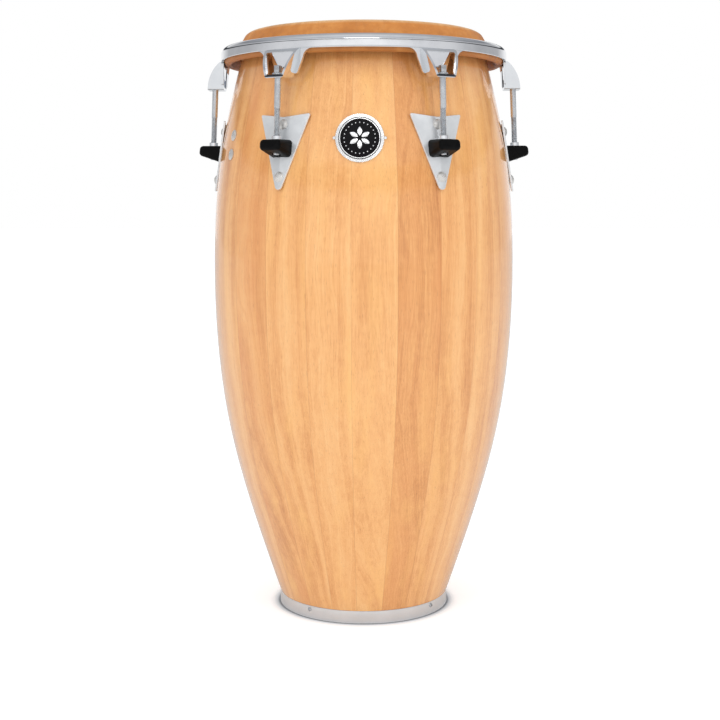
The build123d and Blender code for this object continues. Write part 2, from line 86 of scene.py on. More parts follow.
NUMBER = "NodeSocketFloat"
COUNT = "NodeSocketInt"
VECTOR = "NodeSocketVector"
COLOUR = "NodeSocketColor"
FINISH = "NodeSocketMaterial"
GEOMETRY = "NodeSocketGeometry"


class Tree:
    """Short way of writing shader and geometry node trees."""

    def __init__(self, tree):
        self.tree = tree

    def add(self, kind, *inputs, **settings):
        """New node. Settings are its properties, inputs are values or sockets in order."""
        node = self.tree.nodes.new(kind)
        for name, value in settings.items():
            setattr(node, name, value)
        for index, value in enumerate(inputs):
            self.put(node.inputs[index], value)
        return node

    def put(self, socket, value):
        if value is None:
            return
        if isinstance(value, bpy.types.Node):
            value = value.outputs[0]
        if isinstance(value, bpy.types.NodeSocket):
            self.tree.links.new(value, socket)
        else:
            socket.default_value = value

    def math(self, operation, a, b=None, c=None):
        return self.add("ShaderNodeMath", a, b, c, operation=operation).outputs[0]

    def times(self, a, b):
        return self.math("MULTIPLY", a, b)

    def plus(self, a, b):
        return self.math("ADD", a, b)

    def minus(self, a, b):
        return self.math("SUBTRACT", a, b)

    def line(self, value, slope, offset):
        """value * slope + offset"""
        return self.math("MULTIPLY_ADD", value, slope, offset)

    def length(self, a, b):
        """Length of the flat vector with these two parts."""
        return self.math("SQRT", self.plus(self.math("POWER", a, 2.0), self.math("POWER", b, 2.0)))

    def split(self, vector):
        """X, Y and Z of a vector."""
        return self.add("ShaderNodeSeparateXYZ", vector).outputs

    def azimuth(self, parts):
        """Angle of a point about the drum's axis, from the front towards +X."""
        return self.math("ARCTAN2", parts[0], self.times(parts[1], -1.0))

    def join(self, *nodes):
        """Geometry of several nodes in one."""
        joined = self.add("GeometryNodeJoinGeometry")
        for node in nodes:
            self.tree.links.new(node.outputs[0], joined.inputs[0])
        return joined

    def vector(self, x, y, z):
        return self.add("ShaderNodeCombineXYZ", x, y, z).outputs[0]

    def remap(self, value, low, high, to_low=0.0, to_high=1.0):
        return self.add("ShaderNodeMapRange", value, low, high, to_low, to_high).outputs[0]

    def mix(self, factor, a, b, blend="MIX"):
        node = self.add("ShaderNodeMix", data_type="RGBA", blend_type=blend)
        self.put(node.inputs[0], factor)
        self.put(node.inputs[6], a)
        self.put(node.inputs[7], b)
        return node.outputs[2]

    def ramp(self, factor, stops):
        node = self.add("ShaderNodeValToRGB", factor)
        elements = node.color_ramp.elements
        while len(elements) < len(stops):
            elements.new(0.5)
        for element, (position, colour) in zip(elements, stops):
            element.position = position
            element.color = (*colour, 1)
        return node.outputs[0]

    def noise(self, vector, scale, detail=2.0, roughness=0.5, distortion=0.0):
        node = self.add("ShaderNodeTexNoise", noise_dimensions="3D")
        self.put(node.inputs["Vector"], vector)
        node.inputs["Scale"].default_value = scale
        node.inputs["Detail"].default_value = detail
        node.inputs["Roughness"].default_value = roughness
        node.inputs["Distortion"].default_value = distortion
        return node.outputs["Fac"]


def new_group(name, inputs, outputs, kind="ShaderNodeTree"):
    """Node group with named sockets. Each input is a name, a socket type and a default or None."""
    group = bpy.data.node_groups.new(name, kind)
    for title, socket_type, default in inputs:
        socket = group.interface.new_socket(name=title, in_out="INPUT", socket_type=socket_type)
        if default is not None:
            socket.default_value = default
    for title, socket_type in outputs:
        group.interface.new_socket(name=title, in_out="OUTPUT", socket_type=socket_type)
    tree = Tree(group)
    return group, tree, tree.add("NodeGroupInput").outputs, tree.add("NodeGroupOutput").inputs


def place_group(tree, group, **values):
    """Puts a group in a tree and fills its inputs, named with underscores for spaces."""
    node = tree.add("ShaderNodeGroup", node_tree=group)
    for name, value in values.items():
        tree.put(node.inputs[name.replace("_", " ")], value)
    return node


def new_material(name):
    """Material with a Principled shader: returns it, its tree, the shader and Object coordinates."""
    material = bpy.data.materials.new(name)
    material.use_nodes = True
    tree = Tree(material.node_tree)
    shader = material.node_tree.nodes["Principled BSDF"]
    point = tree.add("ShaderNodeTexCoord").outputs["Object"]
    return material, tree, shader, point


def fill_shader(tree, shader, **values):
    """Fills the shader's sockets with values or links, named with underscores for spaces."""
    for name, value in values.items():
        tree.put(shader.inputs[name.replace("_", " ")], value)


def bump(tree, shader, height, distance, strength):
    """Fine relief of a surface from a height between 0 and 1."""
    node = tree.add("ShaderNodeBump")
    node.inputs["Strength"].default_value = strength
    node.inputs["Distance"].default_value = distance
    tree.put(node.inputs["Height"], height)
    tree.put(shader.inputs["Normal"], node.outputs[0])


# ---------------------------------------------------------------- shared effects

STAVE_COUNT = 22
HALF_STAVE = math.pi / STAVE_COUNT
MEAN_RADIUS = 0.19
SEED_STEP = 3.7
# Wood from its darkest latewood to its palest sapwood.
WOOD_STOPS = [(0.0, (0.46, 0.165, 0.042)), (0.35, (0.645, 0.288, 0.090)),
              (0.62, (0.755, 0.382, 0.136)), (1.0, (0.830, 0.490, 0.205))]
WARM_WOOD = (0.85, 0.475, 0.152, 1)
RED_WOOD = (0.60, 0.215, 0.060, 1)
PORE_BROWN = (0.27, 0.095, 0.028, 1)
FLECK_BROWN = (0.24, 0.080, 0.022, 1)
GLUE_BROWN = (0.26, 0.090, 0.026, 1)
GLUE_REACH = (0.0001, 0.0007)
# Painted shade under the rim: the tint the wood is multiplied by, and the heights over which it deepens.
PAINTED_SHADE_TINT = (0.62, 0.50, 0.42, 1)
PAINTED_SHADE_HEIGHTS = (0.690, 0.722)


def make_grain_group():
    """Wood of one stave: growth bands that the turned surface cuts through, fibres, pores, glue line.

    Under the rim, where little light reaches, the wood and its lacquer are darkened with painted shade.
    """
    group, tree, given, out = new_group(
        "stave_grain",
        [("Point", VECTOR, None), ("Azimuth", NUMBER, 0.0), ("Seed", NUMBER, 0.0), ("Flat Cut", NUMBER, 0.2),
         ("Tone", NUMBER, 0.5), ("Redness", NUMBER, 0.3)],
        [("Colour", COLOUR), ("Height", NUMBER), ("Shine", NUMBER)])
    turn = tree.add("ShaderNodeVectorRotate", rotation_type="Z_AXIS")
    tree.put(turn.inputs["Vector"], given["Point"])
    tree.put(turn.inputs["Angle"], tree.times(given["Azimuth"], -1.0))
    parts = tree.split(turn.outputs[0])
    angle = tree.azimuth(parts)
    around = tree.times(angle, MEAN_RADIUS)
    radius = tree.length(parts[0], parts[1])
    shift = tree.times(given["Seed"], SEED_STEP)

    def fibre_noise(across, along, detail, roughness=0.5):
        """Noise whose spots are stretched along the stave: spots per metre across it and along it."""
        point = tree.vector(tree.line(around, across, shift), tree.times(radius, across),
                            tree.line(parts[2], along, shift))
        return tree.noise(point, 1.0, detail, roughness)

    wander = tree.line(fibre_noise(11.0, 3.2, 3.0, 0.6), 0.042, -0.021)
    arch = tree.line(tree.math("POWER", around, 2.0), 16.0, radius)
    arch = tree.line(parts[2], 0.03, arch)
    depth = tree.plus(tree.times(arch, given["Flat Cut"]), wander)
    ring = tree.plus(depth, tree.times(around, tree.minus(1.0, given["Flat Cut"])))

    def banded(scale, detail):
        """Growth bands: noise that changes only with the depth in the log."""
        node = tree.add("ShaderNodeTexNoise", noise_dimensions="1D")
        tree.put(node.inputs["W"], tree.line(ring, scale, shift))
        node.inputs["Scale"].default_value = 1.0
        node.inputs["Detail"].default_value = detail
        return node.outputs["Fac"]

    fibre = fibre_noise(1500.0, 26.0, 3.0, 0.65)
    cloud = fibre_noise(24.0, 5.0, 3.0, 0.55)
    value = given["Tone"]
    for part, amount in ((banded(60.0, 2.0), 0.62), (banded(520.0, 4.0), 0.34), (fibre, 0.52),
                         (fibre_noise(420.0, 7.0, 2.0, 0.55), 0.40), (cloud, 0.85),
                         (fibre_noise(60.0, 95.0, 2.0), 0.20)):
        value = tree.line(tree.minus(part, 0.5), amount, value)
    warmth = fibre_noise(36.0, 3.5, 2.0)
    pore = tree.remap(fibre_noise(1700.0, 90.0, 1.0), 0.62, 0.74)
    fleck = tree.remap(fibre_noise(480.0, 60.0, 1.0), 0.74, 0.80)
    from_seam = tree.times(tree.minus(HALF_STAVE, tree.math("ABSOLUTE", angle)), radius)
    colour = tree.ramp(value, WOOD_STOPS)
    for share, tint in (
            (tree.remap(warmth, 0.52, 0.72, 0.0, 0.42), WARM_WOOD),
            (tree.times(tree.remap(cloud, 0.42, 0.72), given["Redness"]), RED_WOOD),
            (tree.times(pore, 0.30), PORE_BROWN), (tree.times(fleck, 0.30), FLECK_BROWN),
            (tree.remap(from_seam, *GLUE_REACH, 0.20, 0.0), GLUE_BROWN)):
        colour = tree.mix(share, colour, tint)
    # Painted shade: the wood darkens towards the rim, which shades it.
    under_rim_shade = tree.remap(parts[2], *PAINTED_SHADE_HEIGHTS, 0.0, 0.55)
    tree.put(out["Colour"], tree.mix(under_rim_shade, colour, PAINTED_SHADE_TINT, "MULTIPLY"))
    tree.put(out["Height"], tree.minus(tree.times(fibre, 0.6), tree.times(pore, 0.8)))
    tree.put(out["Shine"], tree.plus(tree.times(cloud, 0.5), tree.times(pore, 0.5)))
    return group


def make_outside_group():
    """1 where a surface faces away from the drum's axis, 0 where it faces the axis or is an end."""
    group, tree, given, out = new_group("outside_mask", [("Point", VECTOR, None)], [("Mask", NUMBER)])
    parts = tree.split(given["Point"])
    outward = tree.add("ShaderNodeVectorMath", tree.vector(parts[0], parts[1], 0.0), operation="NORMALIZE")
    normal = tree.add("ShaderNodeNewGeometry").outputs["True Normal"]
    facing = tree.add("ShaderNodeVectorMath", outward, normal, operation="DOT_PRODUCT").outputs["Value"]
    tree.put(out["Mask"], tree.remap(facing, 0.1, 0.5))
    return group


def make_plating_group():
    """Polished plating that has been handled: faint hairlines, smudges and pits."""
    group, tree, given, out = new_group(
        "plating_wear", [("Point", VECTOR, None), ("Scale", NUMBER, 1.0)],
        [("Smudge", NUMBER), ("Hairline", NUMBER), ("Height", NUMBER)])
    point = tree.add("ShaderNodeVectorMath", given["Point"], operation="SCALE")
    tree.put(point.inputs["Scale"], given["Scale"])
    smudge = tree.remap(tree.noise(point.outputs[0], 42.0, 4.0, 0.6), 0.42, 0.72)
    line = tree.add("ShaderNodeMapping")
    tree.put(line.inputs["Vector"], point.outputs[0])
    line.inputs["Rotation"].default_value = (0.5, 0.3, 0.8)
    line.inputs["Scale"].default_value = (2600, 60, 1900)
    hairline = tree.remap(tree.noise(line.outputs[0], 1.0, 2.0), 0.68, 0.78)
    pit = tree.remap(tree.noise(point.outputs[0], 1500.0, 1.0), 0.74, 0.80)
    wave = tree.noise(point.outputs[0], 55.0, 1.0)
    tree.put(out["Smudge"], smudge)
    tree.put(out["Hairline"], hairline)
    tree.put(out["Height"], tree.minus(wave, tree.times(pit, 0.02)))
    return group


# ---------------------------------------------------------------- materials

BARE_TINT = (0.62, 0.40, 0.22, 1)


def make_wood(grain, outside, number, azimuth, flat_cut, tone, redness):
    """Clear gloss lacquer over one stave's wood. The inside of the shell is left bare."""
    material, tree, shader, point = new_material(f"stave_wood_{number:02d}")
    wood = place_group(tree, grain, Point=point, Azimuth=azimuth, Seed=float(number), Flat_Cut=flat_cut,
                       Tone=tone, Redness=redness).outputs
    mask = place_group(tree, outside, Point=point).outputs["Mask"]
    bare = tree.mix(0.45, wood["Colour"], BARE_TINT, "MULTIPLY")
    dryness = tree.line(wood["Shine"], 0.25, tree.minus(1.0, mask))
    fill_shader(tree, shader, Base_Color=tree.mix(mask, bare, wood["Colour"]),
                Roughness=tree.remap(dryness, 0.0, 1.2, 0.30, 0.75), Coat_Weight=mask,
                Coat_Roughness=0.06, Coat_IOR=1.5, IOR=1.45)
    bump(tree, shader, wood["Height"], 0.00006, 0.6)
    return material


def make_chrome(plating):
    """Mirror chrome with faint hairlines and smudges."""
    material, tree, shader, point = new_material("polished_chrome")
    wear = place_group(tree, plating, Point=point, Scale=1.0).outputs
    colour = tree.mix(tree.times(wear["Smudge"], 0.5), (0.87, 0.885, 0.905, 1), (0.74, 0.76, 0.79, 1))
    rough = tree.line(wear["Hairline"], 0.08, tree.line(wear["Smudge"], 0.06, 0.04))
    fill_shader(tree, shader, Base_Color=colour, Roughness=rough, Metallic=1.0)
    bump(tree, shader, wear["Height"], 0.00025, 0.25)
    return material


# Each satin finish: clean and smudged colour, roughness and what a smudge adds to it, how metallic it is,
# the scale of its wear, and the depth and strength of its relief.
SATIN_FINISHES = {
    "satin_chrome": ((0.80, 0.815, 0.83, 1), (0.68, 0.70, 0.72, 1), 0.16, 0.12, 0.5, 1.0, 0.00025, 0.25),
    "zinc_plating": ((0.64, 0.66, 0.68, 1), (0.52, 0.54, 0.57, 1), 0.22, 0.14, 0.85, 2.0, 0.0002, 0.3),
    "dull_nickel": ((0.70, 0.68, 0.65, 1), (0.60, 0.585, 0.565, 1), 0.26, 0.10, 0.6, 2.0, 0.0002, 0.3),
}


def make_satin(plating, name):
    """Half matt plating, one of the satin finishes."""
    clean, smudged, rough, added, metallic, scale, depth, strength = SATIN_FINISHES[name]
    material, tree, shader, point = new_material(name)
    wear = place_group(tree, plating, Point=point, Scale=scale).outputs
    fill_shader(tree, shader, Base_Color=tree.mix(wear["Smudge"], clean, smudged),
                Roughness=tree.line(wear["Smudge"], added, rough), Metallic=metallic)
    bump(tree, shader, wear["Height"], depth, strength)
    return material


def make_band_steel(plating):
    """Band brushed around its length."""
    material, tree, shader, point = new_material("brushed_band")
    parts = tree.split(point)
    along = tree.vector(tree.times(tree.azimuth(parts), 9.0), 0.0, tree.times(parts[2], 3200.0))
    brush = tree.noise(along, 1.0, 4.0, 0.65)
    wear = place_group(tree, plating, Point=point, Scale=0.7).outputs
    colour = tree.mix(brush, (0.86, 0.86, 0.865, 1), (0.95, 0.95, 0.955, 1))
    colour = tree.mix(tree.times(wear["Smudge"], 0.3), colour, (0.70, 0.70, 0.715, 1))
    fill_shader(tree, shader, Base_Color=colour, Roughness=tree.line(brush, 0.16, 0.26), Metallic=1.0,
                Anisotropic=0.5)
    bump(tree, shader, brush, 0.00003, 0.5)
    return material


HIDE_TOP = [(0.30, (0.50, 0.265, 0.105)), (0.50, (0.66, 0.41, 0.195)), (0.70, (0.78, 0.57, 0.33))]
HIDE_FLANK = [(0.30, (0.40, 0.135, 0.024)), (0.50, (0.54, 0.200, 0.040)), (0.70, (0.66, 0.290, 0.075))]
# Heights between which the worn top turns into the oiled flank, and the flank into the painted shade of the
# tuck under the rim.
HIDE_SHOULDER = (0.7636, 0.7595)
HIDE_TUCK_SHADE = (0.738, 0.726)
TUCK_SHADE_TINT = (0.62, 0.55, 0.50, 1)
VEIN_BROWN = (0.42, 0.20, 0.08, 1)
SPECK_BROWN = (0.36, 0.15, 0.05, 1)
HAIR_BROWN = (0.22, 0.09, 0.035, 1)


def make_hide():
    """Dry rawhide: mottled, with hair pores and faint veins; painted shade darkens it where it tucks under
    the rim.
    """
    material, tree, shader, point = new_material("rawhide")
    cloud = tree.noise(point, 16.0, 5.0, 0.6, 0.4)
    blotch = tree.noise(point, 95.0, 4.0, 0.6)
    speck = tree.remap(tree.noise(point, 900.0, 2.0), 0.60, 0.72)
    hair = tree.remap(tree.noise(point, 2100.0, 0.0), 0.66, 0.74)
    ridge = tree.math("ABSOLUTE", tree.minus(tree.noise(point, 21.0, 3.0, 0.5, 0.8), 0.5))
    vein = tree.remap(ridge, 0.0, 0.018, 1.0, 0.0)
    height = tree.split(point)[2]
    value = tree.plus(tree.times(cloud, 0.62), tree.times(blotch, 0.38))
    colour = tree.mix(tree.remap(height, *HIDE_SHOULDER), tree.ramp(value, HIDE_TOP),
                      tree.ramp(value, HIDE_FLANK))
    # Painted shade: the hide darkens towards the flesh hoop, under the rim.
    colour = tree.mix(tree.remap(height, *HIDE_TUCK_SHADE, 0.0, 0.7), colour, TUCK_SHADE_TINT, "MULTIPLY")
    for mark, share, tint in ((vein, 0.16, VEIN_BROWN), (speck, 0.32, SPECK_BROWN), (hair, 0.30, HAIR_BROWN)):
        colour = tree.mix(tree.times(mark, share), colour, tint)
    fill_shader(tree, shader, Base_Color=colour, Roughness=tree.remap(blotch, 0.3, 0.7, 0.42, 0.62), IOR=1.45,
                Specular_IOR_Level=0.45)
    bump(tree, shader, tree.minus(tree.times(blotch, 0.7), tree.times(hair, 0.25)), 0.0006, 0.45)
    return material


def make_rubber():
    """Moulded black rubber with a fine skin and a little dust."""
    material, tree, shader, point = new_material("moulded_rubber")
    skin = tree.noise(point, 1600.0, 3.0, 0.6)
    dust = tree.remap(tree.noise(point, 120.0, 5.0, 0.65), 0.52, 0.78)
    colour = tree.mix(tree.times(dust, 0.35), (0.0018, 0.0018, 0.002, 1), (0.009, 0.0088, 0.0085, 1))
    fill_shader(tree, shader, Base_Color=colour, Roughness=tree.line(dust, 0.2, 0.42),
                Specular_IOR_Level=0.10)
    bump(tree, shader, skin, 0.0001, 0.4)
    return material


BADGE_SHEET = 0.0018
BADGE_GROOVE = (0.02462, 0.02568)
# Painted shade: black painted into the groove between the badge's rings.
GROOVE_SHADE_BLACK = (0.01, 0.012, 0.018, 1)


def make_bright_plate(plating, name, grooved):
    """Bright plating. On the badge itself the groove between its rings is painted black as painted shade."""
    material, tree, shader, point = new_material(name)
    wear = place_group(tree, plating, Point=point, Scale=1.6).outputs
    colour = tree.mix(wear["Smudge"], (0.95, 0.95, 0.94, 1), (0.86, 0.865, 0.87, 1))
    metal = 1.0
    if grooved:
        low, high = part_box("badge_plate")
        centre = (low + high) / 2
        lean = math.atan2(high.y - low.y - BADGE_SHEET, high.z - low.z)
        parts = tree.split(point)
        rise = tree.math("DIVIDE", tree.minus(parts[2], centre.z), math.cos(lean))
        reach = tree.length(parts[0], rise)
        # Painted shade in the groove: black and not metallic between these radii.
        inside = tree.times(tree.math("GREATER_THAN", reach, BADGE_GROOVE[0]),
                            tree.math("LESS_THAN", reach, BADGE_GROOVE[1]))
        colour = tree.mix(inside, colour, GROOVE_SHADE_BLACK)
        metal = tree.minus(1.0, inside)
    fill_shader(tree, shader, Base_Color=colour, Metallic=metal,
                Roughness=tree.line(wear["Smudge"], 0.10, 0.20))
    bump(tree, shader, wear["Height"], 0.0001, 0.25)
    return material


def make_enamel():
    """Glossy black enamel of the badge's disc."""
    material, tree, shader, point = new_material("black_enamel")
    cloud = tree.noise(point, 160.0, 4.0, 0.6)
    fill_shader(tree, shader, Base_Color=tree.mix(cloud, (0.002, 0.002, 0.0025, 1), (0.006, 0.006, 0.007, 1)),
                Roughness=tree.line(cloud, 0.12, 0.16), Specular_IOR_Level=0.07)
    bump(tree, shader, cloud, 0.0001, 0.2)
    return material


# ---------------------------------------------------------------- mesh helpers

def new_piece(name, mesh, body, slot, *replaced, materials=()):
    """Object that rides on a body and may stand for CAD nodes. Its slot argument is not used."""
    piece = bpy.data.objects.new(name, mesh)
    bpy.context.scene.collection.objects.link(piece)
    if materials:
        mesh.materials.clear()
    for material in materials:
        mesh.materials.append(material)
    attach(piece, body)
    if replaced:
        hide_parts(*replaced)
    return piece


def finished(mesh, sharp_degrees):
    """Outward faces, smooth shading with sharp edges kept."""
    work = bmesh.new()
    work.from_mesh(mesh)
    bmesh.ops.recalc_face_normals(work, faces=work.faces)
    work.to_mesh(mesh)
    work.free()
    mesh.shade_smooth()
    mesh.set_sharp_from_angle(angle=math.radians(sharp_degrees))
    return mesh


# Points closer than this become one point.
WELD = 1e-7


def turned_mesh(name, profile, segments, wobble=None):
    """Revolves a closed profile of radius and height about the drum's axis.

    Wobble moves a point of the profile by its place in it and its angle.
    """
    work = bmesh.new()
    rings = []
    for step in range(segments):
        angle = 2 * math.pi * step / segments
        ring = []
        for index, (radius, height) in enumerate(profile):
            if wobble:
                radius, height = wobble(index, angle, radius, height)
            ring.append(work.verts.new((radius * math.sin(angle), -radius * math.cos(angle), height)))
        rings.append(ring)
    for step in range(segments):
        here, there = rings[step], rings[(step + 1) % segments]
        for index in range(len(profile)):
            after = (index + 1) % len(profile)
            work.faces.new((here[index], there[index], there[after], here[after]))
    bmesh.ops.remove_doubles(work, verts=work.verts, dist=WELD)
    bmesh.ops.delete(work, geom=[edge for edge in work.edges if edge.is_wire], context="EDGES")
    mesh = bpy.data.meshes.new(name)
    work.to_mesh(mesh)
    work.free()
    return mesh


def between(start, end, steps):
    """Points that divide the line between two points into equal steps, without its ends."""
    return [tuple(Vector(start).lerp(Vector(end), step / steps)) for step in range(1, steps)]


def arc_points(centre, radius, start, end, steps):
    """Points of radius and height along an arc, angles in degrees from outward towards up."""
    points = []
    for step in range(steps + 1):
        angle = math.radians(start + (end - start) * step / steps)
        points.append((centre[0] + radius * math.cos(angle), centre[1] + radius * math.sin(angle)))
    return points


def evaluated_mesh(piece):
    """Plain mesh of an object with its modifiers applied. The object is removed."""
    graph = bpy.context.evaluated_depsgraph_get()
    mesh = bpy.data.meshes.new_from_object(piece.evaluated_get(graph))
    bpy.data.objects.remove(piece)
    return mesh


CAD_WELD = 2e-6
FLAT_ANGLE = math.radians(0.4)
HARD_ANGLE = math.radians(30)
ROUNDING_STEPS = 3
FLAT_WEIGHT = 90


def softened(node, width):
    """Copy of a CAD node's mesh with its hard edges rounded and its flat faces kept flat."""
    mesh = NODES[node].data.copy()
    work = bmesh.new()
    work.from_mesh(mesh)
    bmesh.ops.remove_doubles(work, verts=work.verts, dist=CAD_WELD)
    bmesh.ops.dissolve_limit(work, angle_limit=FLAT_ANGLE, verts=work.verts, edges=work.edges)
    work.to_mesh(mesh)
    work.free()
    mesh.materials.clear()
    piece = bpy.data.objects.new(node + "_work", mesh)
    bpy.context.scene.collection.objects.link(piece)
    bevel = piece.modifiers.new("round", "BEVEL")
    bevel.width = width
    bevel.segments = ROUNDING_STEPS
    bevel.limit_method = "ANGLE"
    bevel.angle_limit = HARD_ANGLE
    piece.data.shade_smooth()
    weighted = piece.modifiers.new("flat faces", "WEIGHTED_NORMAL")
    weighted.weight = FLAT_WEIGHT
    rounded = evaluated_mesh(piece)
    rounded.name = node + "_mesh"
    return rounded


# ---------------------------------------------------------------- shell and head

FIRST_SEAM = -2.9
# One row per stave from the front towards +X: how flat it was sawn, how light and how red it is.
STAVE_LOOKS = [
    (0.55, 0.62, 0.10), (0.30, 0.40, 0.55), (0.18, 0.54, 0.25), (0.12, 0.60, 0.15), (0.40, 0.50, 0.30),
    (0.22, 0.56, 0.35), (0.10, 0.45, 0.40), (0.60, 0.58, 0.15), (0.25, 0.48, 0.30), (0.15, 0.63, 0.10),
    (0.35, 0.44, 0.45), (0.20, 0.57, 0.20), (0.50, 0.50, 0.30), (0.12, 0.60, 0.25), (0.28, 0.42, 0.50),
    (0.18, 0.55, 0.20), (0.45, 0.52, 0.30), (0.24, 0.49, 0.25), (0.14, 0.58, 0.30), (0.52, 0.46, 0.60),
    (0.20, 0.54, 0.20), (0.12, 0.60, 0.12),
]


def dress_staves():
    """Gives each stave of the shell its own wood."""
    grain = make_grain_group()
    outside = make_outside_group()
    step = 360.0 / STAVE_COUNT
    for number, (flat_cut, tone, redness) in enumerate(STAVE_LOOKS, 1):
        middle = math.radians(FIRST_SEAM + (number - 0.5) * step)
        wood = make_wood(grain, outside, number, middle, flat_cut, tone, redness)
        dress_node(f"stave_{number:02d}", wood)


def dress_node(node, material):
    """Puts a finish on a CAD node that is shown as it is."""
    mesh = NODES[node].data
    if not mesh.materials:
        mesh.materials.append(material)
    for slot in NODES[node].material_slots:
        slot.material = material


HEAD_EDGE = (0.1468, 0.7522)
HEAD_BEND = 0.01205
FLESH_CENTRE = (0.1780, 0.7282)
WRAP_RADIUS = 0.0057
WRAP_START = 150
SKIN = 0.0020
TOP_RINGS = [0.012 * step for step in range(1, 12)]
FLANK_STEPS = 6
ROUND_SEGMENTS = 288
FOLD_DEPTH = 0.00016
FLANK_RIPPLE = 0.00008
RIPPLED_POINTS = 8
HEAD_SHARP = 60.0


def make_head(hide):
    """Rawhide pulled over the bearing edge, down to the flesh hoop and round it, with small puckers."""
    edge, hoop = Vector(HEAD_EDGE), Vector(FLESH_CENTRE)
    inner = HEAD_BEND - SKIN
    fall = math.atan2(hoop.y - edge.y, hoop.x - edge.x)
    fall -= math.asin((inner + WRAP_RADIUS) / (hoop - edge).length)
    lean = math.degrees(fall) + 90.0
    top_low, top_high = HEAD_EDGE[1] + inner, HEAD_EDGE[1] + HEAD_BEND

    outer = [(0.0, top_high)] + [(radius, top_high) for radius in TOP_RINGS]
    outer += arc_points(HEAD_EDGE, HEAD_BEND, 90, lean, 10)
    touch = arc_points(FLESH_CENTRE, WRAP_RADIUS - SKIN, lean - 180, lean - 180, 1)[0]
    outer += between(outer[-1], touch, FLANK_STEPS)
    # The outside of the skin meets the wrap where the wrap's own upper side begins.
    wrap = arc_points(FLESH_CENTRE, WRAP_RADIUS, WRAP_START, -180 + lean, 26)
    inside_edge = arc_points(HEAD_EDGE, inner, lean, 90, 10)
    inside = between(wrap[-1], inside_edge[0], FLANK_STEPS) + inside_edge
    inside += [(radius, top_low) for radius in reversed(TOP_RINGS)] + [(0.0, top_low)]
    wrap_from = len(outer)
    wrap_to = wrap_from + len(wrap)

    def pucker(index, angle, radius, height):
        """Folds in the wrapped edge and a faint unevenness of the flank."""
        fold = (math.sin(37 * angle + 2.0 * math.sin(5 * angle)) + 0.6 * math.sin(61 * angle + 1.3)
                + 0.5 * math.sin(23 * angle + 0.7))
        if wrap_from <= index < wrap_to:
            swell = 1.0 - FOLD_DEPTH / WRAP_RADIUS * (1.0 + 0.5 * fold)
            radius = FLESH_CENTRE[0] + (radius - FLESH_CENTRE[0]) * swell
            height = FLESH_CENTRE[1] + (height - FLESH_CENTRE[1]) * swell
        elif wrap_from - RIPPLED_POINTS <= index < wrap_from:
            radius += FLANK_RIPPLE * fold
        return radius, height

    mesh = turned_mesh("drum_head_mesh", outer + wrap + inside, ROUND_SEGMENTS, pucker)
    new_piece("rawhide_head", finished(mesh, HEAD_SHARP), "shell", "rawhide", "drum_head", materials=[hide])


# ---------------------------------------------------------------- counterhoop, ears and band

RIM_OUTER = 0.1877
RIM_WALL_TOP = 0.7325
RIM_SHEET = 0.0030
RIM_LOW = 0.7275
RIM_CREST = (0.1797, 0.7365)
RIM_CREST_RADIUS = 0.0080
LEG_LOW = 0.7333
EDGE_ROUND = 0.0008
EDGE_STEPS = 4
RIM_SHARP = 60.0


def eased(corner, start):
    """Quarter round at a sheet's edge, starting at an angle in degrees."""
    return arc_points(corner, EDGE_ROUND, start, start + 90, EDGE_STEPS)


def make_counterhoop(chrome):
    """Rolled rim: outer wall, round crest and inner leg of one bent sheet."""
    ease = EDGE_ROUND
    leg = RIM_CREST[0] - RIM_CREST_RADIUS
    inner_wall = RIM_OUTER - RIM_SHEET
    profile = [(RIM_OUTER, RIM_WALL_TOP)]
    profile += arc_points(RIM_CREST, RIM_CREST_RADIUS, 0, 180, 24)
    profile += [(leg, LEG_LOW + ease)] + eased((leg + ease, LEG_LOW + ease), 180)
    profile += eased((leg + RIM_SHEET - ease, LEG_LOW + ease), 270)
    profile += arc_points(RIM_CREST, RIM_CREST_RADIUS - RIM_SHEET, 180, 0, 16)
    profile += [(inner_wall, RIM_LOW + ease)] + eased((inner_wall + ease, RIM_LOW + ease), 180)
    profile += eased((RIM_OUTER - ease, RIM_LOW + ease), 270)
    mesh = finished(turned_mesh("counterhoop_mesh", profile, ROUND_SEGMENTS), RIM_SHARP)
    new_piece("rolled_counterhoop", mesh, "counterhoop", "chrome", "counterhoop", materials=[chrome])


BAND_OUTER_LOW = 0.1148
BAND_OUTER_HIGH = 0.1142
BAND_INNER = 0.11255
BAND_HEIGHT = 0.0168
BAND_SEGMENTS = 256
BAND_SHARP = 40.0


def make_base_band(steel):
    """Rolled steel band with eased edges round the foot of the shell."""
    profile = eased((BAND_OUTER_LOW - EDGE_ROUND, EDGE_ROUND), -90)
    profile += eased((BAND_OUTER_HIGH - EDGE_ROUND, BAND_HEIGHT - EDGE_ROUND), 0)
    profile += [(BAND_INNER, BAND_HEIGHT), (BAND_INNER, 0.0)]
    mesh = finished(turned_mesh("base_band_mesh", profile, BAND_SEGMENTS), BAND_SHARP)
    new_piece("steel_base_band", mesh, "shell", "satin_steel", "base_band", materials=[steel])


# ---------------------------------------------------------------- tension rods

ROD_LOW = -0.0889
THREAD_TOP = -0.0320
ROD_NECK = 0.0085
THREAD_RADIUS = 0.00385
SHANK_RADIUS = 0.00394
THREAD_DEPTH = 0.00080
THREAD_PITCH = 0.0254 / 18  # 18 threads in an inch
ROD_HEAD_SIDE = 0.0073
ROD_HEAD_HEIGHT = 0.0090
ROD_WELD = 2e-6
ROD_HEAD_EASING = 0.0007
ROD_SHARP = 55.0
THREAD_FLAT = (0.12, 0.94)
RUNOUT_TURNS = 1.5
THREAD_WELD = 1e-6


